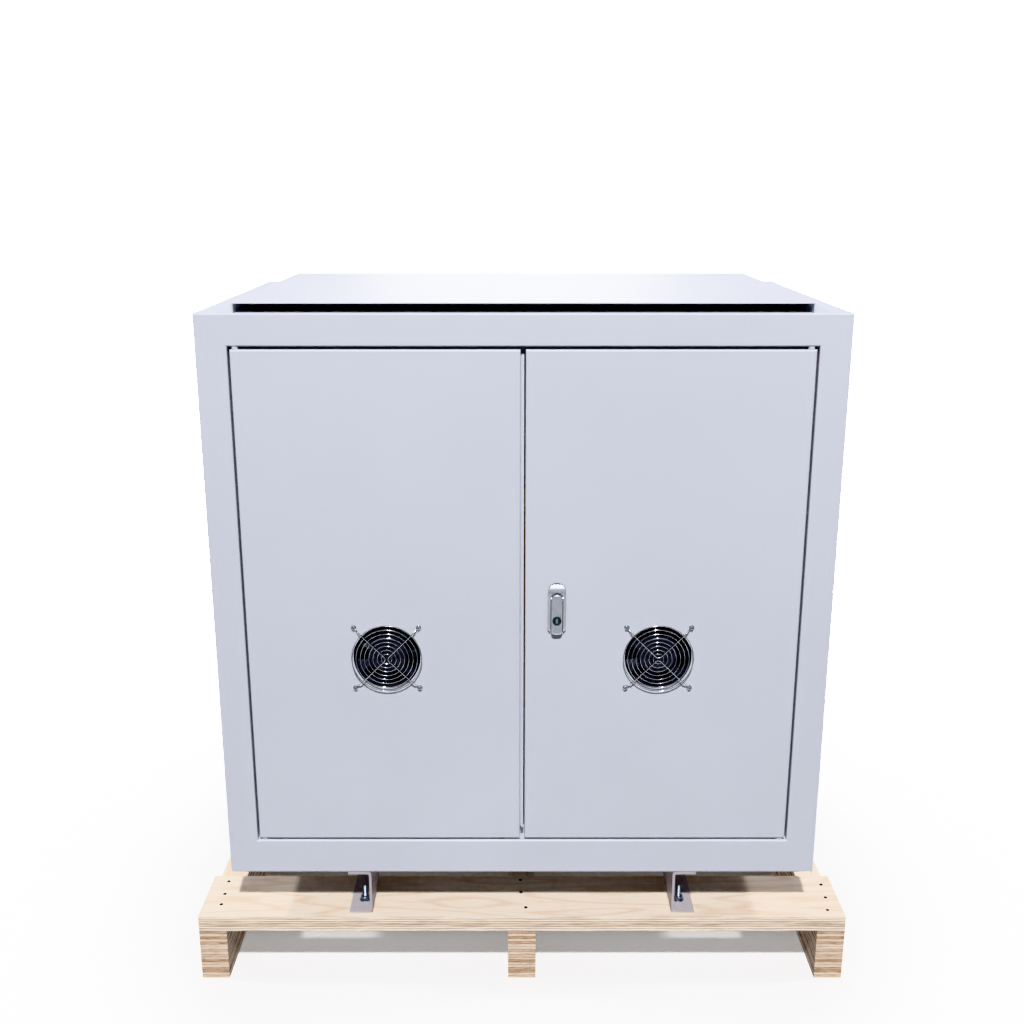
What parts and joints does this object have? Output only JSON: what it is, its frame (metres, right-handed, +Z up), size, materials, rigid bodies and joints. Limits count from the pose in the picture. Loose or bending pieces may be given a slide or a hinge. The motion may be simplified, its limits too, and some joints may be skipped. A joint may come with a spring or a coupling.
{
  "type": "power transformer",
  "caption": "Light grey steel power transformer enclosure with fan-cooled hinged doors, flush lock, raised roof cover and channel feet, bolted to a wooden pallet.",
  "frame": {"origin": "on the floor under the middle of the pallet", "axes": "+Z up, the doors face -Y, +X to the right seen from the front"},
  "size_m": [1.12, 0.624, 1.171],
  "materials": {
    "cabinet_paint": "light grey powder coat, fine texture",
    "bearer_plywood": "laminated veneer, bare",
    "deck_plywood": "plywood, bare",
    "zinc_plate": "zinc plated",
    "chromed_wire": "bright chrome",
    "fan_housing_black": "black painted casting",
    "fan_blade_black": "black moulding",
    "lock_satin": "satin nickel plated die casting",
    "key_cylinder_dark": "dark plated",
    "core_steel": "varnished laminations",
    "coil_resin": "varnished winding tape",
    "clamp_paint": "grey primer",
    "block_board": "pressed board"
  },
  "bodies": {
    "enclosure": {"front_left_stile": "cabinet_paint", "front_right_stile": "cabinet_paint", "front_top_rail": "cabinet_paint", "front_bottom_rail": "cabinet_paint", "left_side_panel": "cabinet_paint", "right_side_panel": "cabinet_paint", "back_panel": "cabinet_paint", "floor_plate": "cabinet_paint", "roof_cover": "cabinet_paint", "roof_spacers": "cabinet_paint", "left_foot_channel": "cabinet_paint", "right_foot_channel": "cabinet_paint", "pallet_left_bearer": "bearer_plywood", "pallet_middle_bearer": "bearer_plywood", "pallet_right_bearer": "bearer_plywood", "pallet_front_board": "deck_plywood", "pallet_middle_board": "deck_plywood", "pallet_rear_board": "deck_plywood", "foot_bolts": "zinc_plate", "hinge_pins": "zinc_plate", "tie_rods": "zinc_plate", "core": "core_steel", "left_coil": "coil_resin", "middle_coil": "coil_resin", "right_coil": "coil_resin", "lower_front_clamp": "clamp_paint", "lower_rear_clamp": "clamp_paint", "upper_front_clamp": "clamp_paint", "upper_rear_clamp": "clamp_paint", "left_core_bearer": "clamp_paint", "right_core_bearer": "clamp_paint", "coil_blocks": "block_board"},
    "left_leaf": {"left_door": "cabinet_paint", "left_door_meeting_strip": "cabinet_paint", "left_fan_guard": "chromed_wire", "left_fan_housing": "fan_housing_black"},
    "right_leaf": {"right_door": "cabinet_paint", "right_fan_guard": "chromed_wire", "right_fan_housing": "fan_housing_black", "lock_escutcheon": "lock_satin"},
    "left_impeller": {"left_fan_impeller": "fan_blade_black"},
    "right_impeller": {"right_fan_impeller": "fan_blade_black"},
    "lever": {"lock_lever": "lock_satin", "key_cylinder": "key_cylinder_dark"}
  },
  "joints": [
    {"name": "left_door_hinge", "type": "hinge", "parent": "enclosure", "child": "left_leaf", "pos_m": [-0.439, -0.294, 0.68375], "axis": [0, 0, -1], "range_deg": [0, 110]},
    {"name": "right_door_hinge", "type": "hinge", "parent": "enclosure", "child": "right_leaf", "pos_m": [0.439, -0.294, 0.68375], "axis": [0, 0, 1], "range_deg": [0, 110]},
    {"name": "left_fan_spin", "type": "hinge", "parent": "left_leaf", "child": "left_impeller", "pos_m": [-0.221, -0.28, 0.598], "axis": [0, 1, 0], "continuous": true},
    {"name": "right_fan_spin", "type": "hinge", "parent": "right_leaf", "child": "right_impeller", "pos_m": [0.221, -0.28, 0.598], "axis": [0, 1, 0], "continuous": true},
    {"name": "lock_lever_lift", "type": "hinge", "parent": "right_leaf", "child": "lever", "pos_m": [0.055, -0.305, 0.7025], "axis": [-1, 0, 0], "range_deg": [0, 35]}
  ]
}
